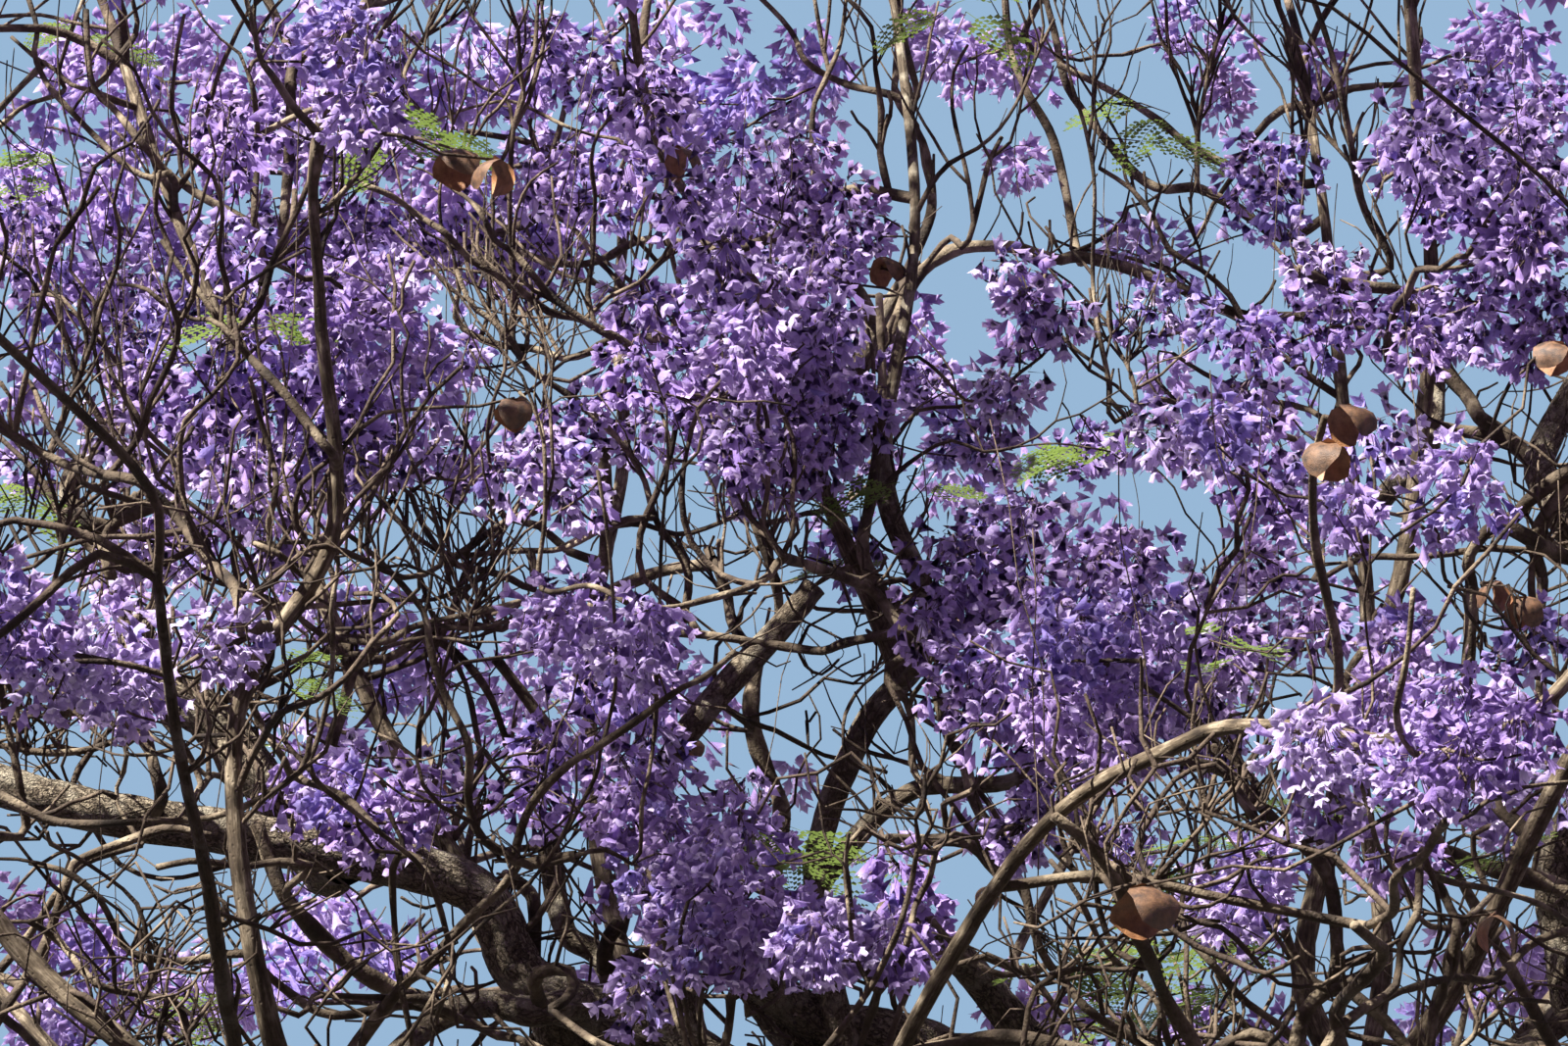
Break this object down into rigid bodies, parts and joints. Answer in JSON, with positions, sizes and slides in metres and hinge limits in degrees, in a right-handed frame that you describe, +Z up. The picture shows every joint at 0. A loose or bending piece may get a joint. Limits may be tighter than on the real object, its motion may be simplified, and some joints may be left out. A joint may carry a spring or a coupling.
{
  "type": "jacaranda tree",
  "caption": "Whole jacaranda in full bloom: flared trunk, low fork, spreading crooked boughs and masses of lilac blossom.",
  "frame": {"origin": "middle of the flat cut under the trunk, at ground level", "axes": "+Z up; the picture looks in from the -Y side, with +X to its right"},
  "size_m": [11.0707, 10.9192, 9.4091],
  "materials": {
    "trunk_bark": "rough fissured bark",
    "bough_bark": "rough bark",
    "blossom": "soft petals"
  },
  "bodies": {
    "root": {"blossom_lower_0": "blossom", "blossom_lower_1": "blossom", "blossom_lower_10": "blossom", "blossom_lower_2": "blossom", "blossom_lower_3": "blossom", "blossom_lower_4": "blossom", "blossom_lower_5": "blossom", "blossom_lower_6": "blossom", "blossom_lower_7": "blossom", "blossom_lower_8": "blossom", "blossom_lower_9": "blossom", "blossom_middle_0": "blossom", "blossom_middle_1": "blossom", "blossom_middle_2": "blossom", "blossom_middle_3": "blossom", "blossom_middle_4": "blossom", "blossom_middle_5": "blossom", "blossom_middle_6": "blossom", "blossom_middle_7": "blossom", "blossom_middle_8": "blossom", "blossom_top_0": "blossom", "blossom_upper_0": "blossom", "blossom_upper_1": "blossom", "blossom_upper_2": "blossom", "blossom_upper_3": "blossom", "blossom_upper_4": "blossom", "bough_arching_left": "bough_bark", "bough_back": "bough_bark", "bough_back_right": "bough_bark", "bough_centre": "bough_bark", "bough_front_left": "bough_bark", "bough_front_right": "bough_bark", "bough_left": "bough_bark", "bough_pruned": "bough_bark", "bough_right": "bough_bark", "bough_rising_right": "bough_bark", "bough_upper_back": "bough_bark", "leader": "trunk_bark", "limb_lower_0": "bough_bark", "limb_lower_2": "bough_bark", "limb_lower_4": "bough_bark", "limb_lower_6": "bough_bark", "limb_lower_7": "bough_bark", "limb_lower_9": "bough_bark", "limb_middle_0": "bough_bark", "limb_middle_1": "bough_bark", "limb_middle_4": "bough_bark", "limb_middle_6": "bough_bark", "limb_middle_8": "bough_bark", "limb_upper_0": "bough_bark", "limb_upper_1": "bough_bark", "limb_upper_2": "bough_bark", "limb_upper_3": "bough_bark", "limb_upper_4": "bough_bark", "trunk": "trunk_bark"}
  },
  "joints": []
}
